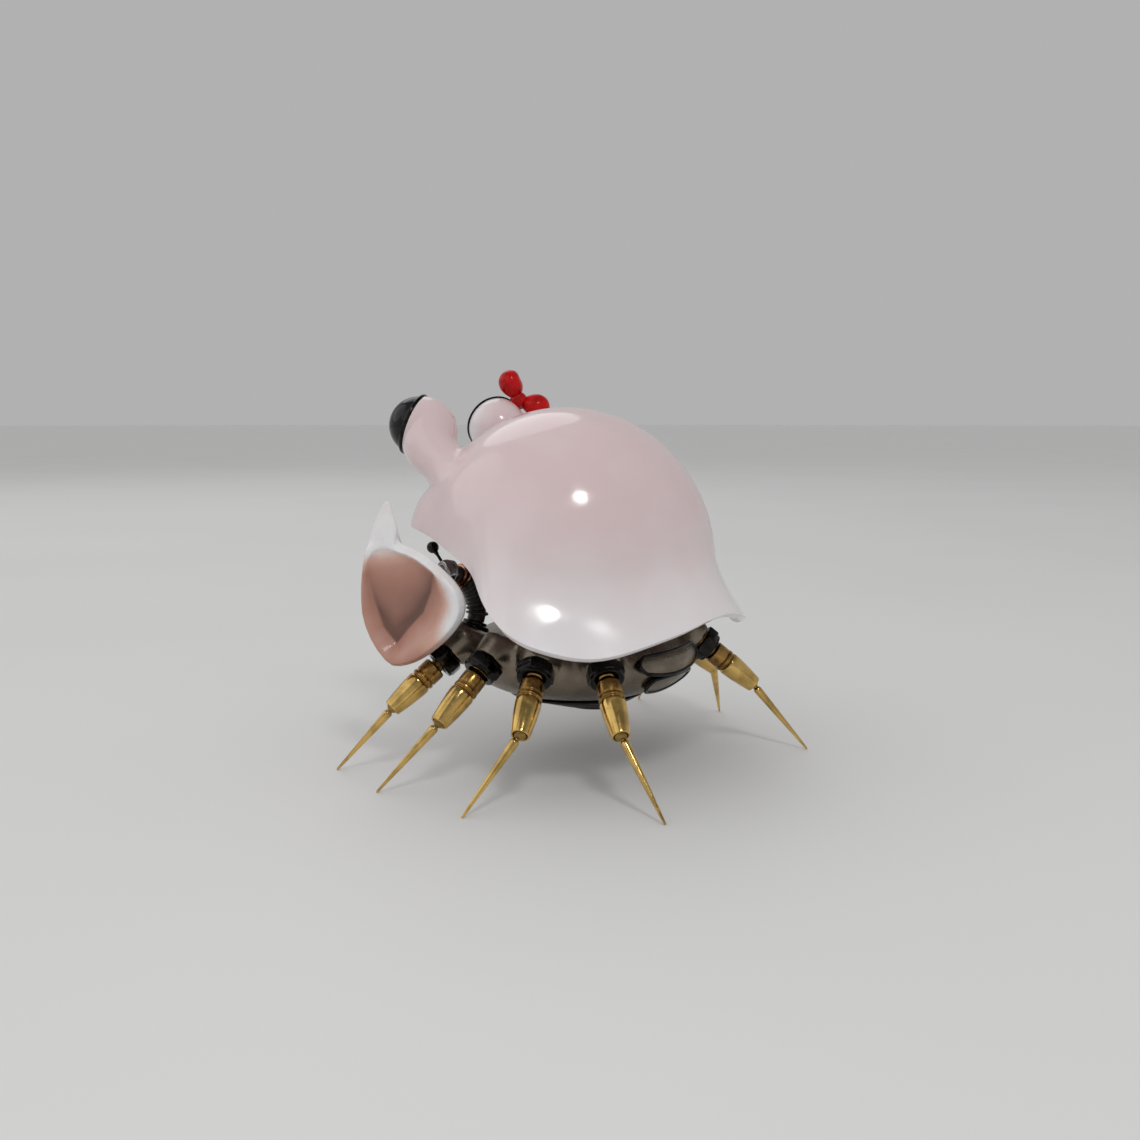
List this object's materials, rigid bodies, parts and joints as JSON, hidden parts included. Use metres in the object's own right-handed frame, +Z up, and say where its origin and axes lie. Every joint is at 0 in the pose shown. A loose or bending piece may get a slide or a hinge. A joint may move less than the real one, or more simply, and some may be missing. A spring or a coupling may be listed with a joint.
{
  "type": "mechanical crab sculpture",
  "caption": "Ornamental mechanical crab: a wavy porcelain shell on a polished metal body, with jointed brass legs, cupped porcelain claws on ribbed arms, stalk eyes and a red bow.",
  "frame": {"origin": "centre of the crab's footprint on the table that it stands on", "axes": "+X the way the crab looks, +Y its left, +Z up"},
  "size_m": [0.1656, 0.1996, 0.1708],
  "materials": {
    "porcelain": "high-gloss glaze, dusty pink on the crown and white at the rim",
    "blush_porcelain": "high-gloss glaze, deep pink in the cup and white at the lip",
    "gunmetal": "polished warm-grey gunmetal plate",
    "black_chrome": "polished black chrome",
    "chrome": "polished",
    "brass": "polished, with darker patina in the grooves",
    "copper": "polished copper",
    "dark_hose": "satin, ribbed",
    "rubber_pad": "matte",
    "eye_glass": "black glass, mirror bright",
    "red_enamel": "glossy red enamel"
  },
  "bodies": {
    "frame": {"carapace": "porcelain", "crown_pad": "rubber_pad", "shell_post": "gunmetal", "top_deck": "gunmetal", "deck_screws": "black_chrome", "body_housing": "gunmetal", "hip_collars": "black_chrome", "apron_plate_1": "black_chrome", "apron_plate_2": "black_chrome", "apron_plate_3": "black_chrome", "apron_plate_4": "black_chrome", "tail_plate_upper": "gunmetal", "tail_plate_lower": "gunmetal", "bow_loops": "red_enamel", "bow_knot": "red_enamel", "eye_ring_left": "black_chrome", "eye_lens_left": "eye_glass", "feeler_left": "black_chrome", "arm_socket_left": "black_chrome", "eye_ring_right": "black_chrome", "eye_lens_right": "eye_glass", "feeler_right": "black_chrome", "arm_socket_right": "black_chrome"},
    "leg_left_1_thigh": {"leg_left_1_coxa": "brass", "leg_left_1_barrel": "brass"},
    "leg_left_1_shin": {"leg_left_1_needle": "brass"},
    "leg_left_2_thigh": {"leg_left_2_coxa": "brass", "leg_left_2_barrel": "brass"},
    "leg_left_2_shin": {"leg_left_2_needle": "brass"},
    "leg_left_3_thigh": {"leg_left_3_coxa": "brass", "leg_left_3_barrel": "brass"},
    "leg_left_3_shin": {"leg_left_3_needle": "brass"},
    "leg_left_4_thigh": {"leg_left_4_coxa": "brass", "leg_left_4_barrel": "brass"},
    "leg_left_4_shin": {"leg_left_4_needle": "brass"},
    "arm_left": {"arm_hose_left": "dark_hose", "arm_rings_left": "copper", "wrist_cap_left": "chrome"},
    "claw_left": {"claw_left": "blush_porcelain", "claw_stud_left": "chrome"},
    "leg_right_1_thigh": {"leg_right_1_coxa": "brass", "leg_right_1_barrel": "brass"},
    "leg_right_1_shin": {"leg_right_1_needle": "brass"},
    "leg_right_2_thigh": {"leg_right_2_coxa": "brass", "leg_right_2_barrel": "brass"},
    "leg_right_2_shin": {"leg_right_2_needle": "brass"},
    "leg_right_3_thigh": {"leg_right_3_coxa": "brass", "leg_right_3_barrel": "brass"},
    "leg_right_3_shin": {"leg_right_3_needle": "brass"},
    "leg_right_4_thigh": {"leg_right_4_coxa": "brass", "leg_right_4_barrel": "brass"},
    "leg_right_4_shin": {"leg_right_4_needle": "brass"},
    "arm_right": {"arm_hose_right": "dark_hose", "arm_rings_right": "copper", "wrist_cap_right": "chrome"},
    "claw_right": {"claw_right": "blush_porcelain", "claw_stud_right": "chrome"}
  },
  "joints": [
    {"name": "hip_left_1", "type": "hinge", "parent": "frame", "child": "leg_left_1_thigh", "pos_m": [0.03103, 0.05291, 0.048], "axis": [0.866, -0.5, 0], "range_deg": [-8, 6]},
    {"name": "knee_left_1", "type": "hinge", "parent": "leg_left_1_thigh", "child": "leg_left_1_shin", "pos_m": [0.0428, 0.0733, 0.0286], "axis": [0.4384, -0.8988, 0], "range_deg": [-12, 14]},
    {"name": "hip_left_2", "type": "hinge", "parent": "frame", "child": "leg_left_2_thigh", "pos_m": [0.00667, 0.05678, 0.048], "axis": [0.9848, -0.1736, 0], "range_deg": [-8, 10]},
    {"name": "knee_left_2", "type": "hinge", "parent": "leg_left_2_thigh", "child": "leg_left_2_shin", "pos_m": [0.01076, 0.07996, 0.0286], "axis": [0.6428, -0.766, 0], "range_deg": [-12, 14]},
    {"name": "hip_left_3", "type": "hinge", "parent": "frame", "child": "leg_left_3_thigh", "pos_m": [-0.0167, 0.05342, 0.048], "axis": [0.9205, 0.3907, 0], "range_deg": [-8, 10]},
    {"name": "knee_left_3", "type": "hinge", "parent": "leg_left_3_thigh", "child": "leg_left_3_shin", "pos_m": [-0.02589, 0.07508, 0.0286], "axis": [0.9336, -0.3584, 0], "range_deg": [-12, 14]},
    {"name": "hip_left_4", "type": "hinge", "parent": "frame", "child": "leg_left_4_thigh", "pos_m": [-0.03962, 0.03853, 0.048], "axis": [0.6561, 0.7547, 0], "range_deg": [-8, 10]},
    {"name": "knee_left_4", "type": "hinge", "parent": "leg_left_4_thigh", "child": "leg_left_4_shin", "pos_m": [-0.05738, 0.05397, 0.0286], "axis": [0.2756, 0.9613, 0], "range_deg": [-12, 14]},
    {"name": "arm_swing_left", "type": "hinge", "parent": "frame", "child": "arm_left", "pos_m": [0.03272, 0.03397, 0.057], "axis": [-0.0885, -0.3304, 0.9397], "range_deg": [-8, 8]},
    {"name": "claw_tilt_left", "type": "hinge", "parent": "arm_left", "child": "claw_left", "pos_m": [0.03655, 0.04825, 0.0829], "axis": [-0.9848, -0.1736, 0], "range_deg": [-10, 1]},
    {"name": "hip_right_1", "type": "hinge", "parent": "frame", "child": "leg_right_1_thigh", "pos_m": [0.03103, -0.05291, 0.048], "axis": [-0.866, -0.5, 0], "range_deg": [-8, 6]},
    {"name": "knee_right_1", "type": "hinge", "parent": "leg_right_1_thigh", "child": "leg_right_1_shin", "pos_m": [0.0428, -0.0733, 0.0286], "axis": [-0.4384, -0.8988, 0], "range_deg": [-12, 14]},
    {"name": "hip_right_2", "type": "hinge", "parent": "frame", "child": "leg_right_2_thigh", "pos_m": [0.00667, -0.05678, 0.048], "axis": [-0.9848, -0.1736, 0], "range_deg": [-8, 10]},
    {"name": "knee_right_2", "type": "hinge", "parent": "leg_right_2_thigh", "child": "leg_right_2_shin", "pos_m": [0.01076, -0.07996, 0.0286], "axis": [-0.6428, -0.766, 0], "range_deg": [-12, 14]},
    {"name": "hip_right_3", "type": "hinge", "parent": "frame", "child": "leg_right_3_thigh", "pos_m": [-0.0167, -0.05342, 0.048], "axis": [-0.9205, 0.3907, 0], "range_deg": [-8, 10]},
    {"name": "knee_right_3", "type": "hinge", "parent": "leg_right_3_thigh", "child": "leg_right_3_shin", "pos_m": [-0.02589, -0.07508, 0.0286], "axis": [-0.9336, -0.3584, 0], "range_deg": [-12, 14]},
    {"name": "hip_right_4", "type": "hinge", "parent": "frame", "child": "leg_right_4_thigh", "pos_m": [-0.03962, -0.03853, 0.048], "axis": [-0.6561, 0.7547, 0], "range_deg": [-8, 10]},
    {"name": "knee_right_4", "type": "hinge", "parent": "leg_right_4_thigh", "child": "leg_right_4_shin", "pos_m": [-0.05738, -0.05397, 0.0286], "axis": [-0.2756, 0.9613, 0], "range_deg": [-12, 14]},
    {"name": "arm_swing_right", "type": "hinge", "parent": "frame", "child": "arm_right", "pos_m": [0.03272, -0.03397, 0.057], "axis": [-0.0885, 0.3304, 0.9397], "range_deg": [-8, 8]},
    {"name": "claw_tilt_right", "type": "hinge", "parent": "arm_right", "child": "claw_right", "pos_m": [0.03655, -0.04825, 0.0829], "axis": [0.9848, -0.1736, 0], "range_deg": [-10, 1]}
  ]
}
